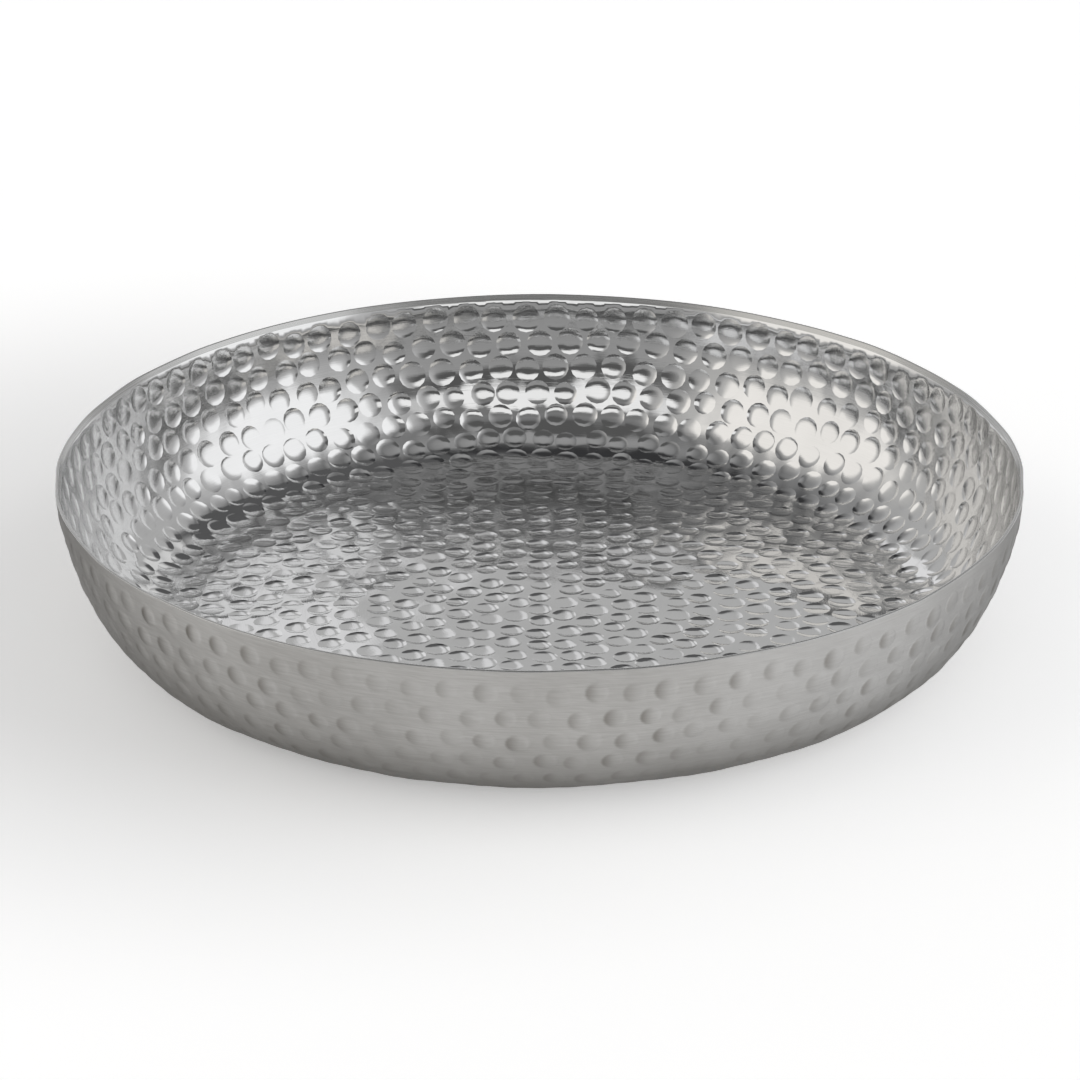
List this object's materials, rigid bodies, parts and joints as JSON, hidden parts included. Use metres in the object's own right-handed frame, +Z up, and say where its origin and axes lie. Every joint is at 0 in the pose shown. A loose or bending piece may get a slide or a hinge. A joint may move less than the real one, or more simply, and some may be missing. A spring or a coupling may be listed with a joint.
{
  "type": "hammered serving tray",
  "caption": "Shallow round serving tray in one hammered aluminium sheet, with a flat base, curved wall and plain trimmed rim, polished inside and brushed outside.",
  "frame": {"origin": "on the table, under the middle of the flat base", "axes": "+Z up along the dish's axis, +X to the right and +Y away from the picture's viewer"},
  "size_m": [0.4, 0.3998, 0.0684],
  "materials": {
    "aluminium": "hammered sheet, polished inside, brushed satin outside"
  },
  "bodies": {
    "root": {"tray": "aluminium"}
  },
  "joints": []
}
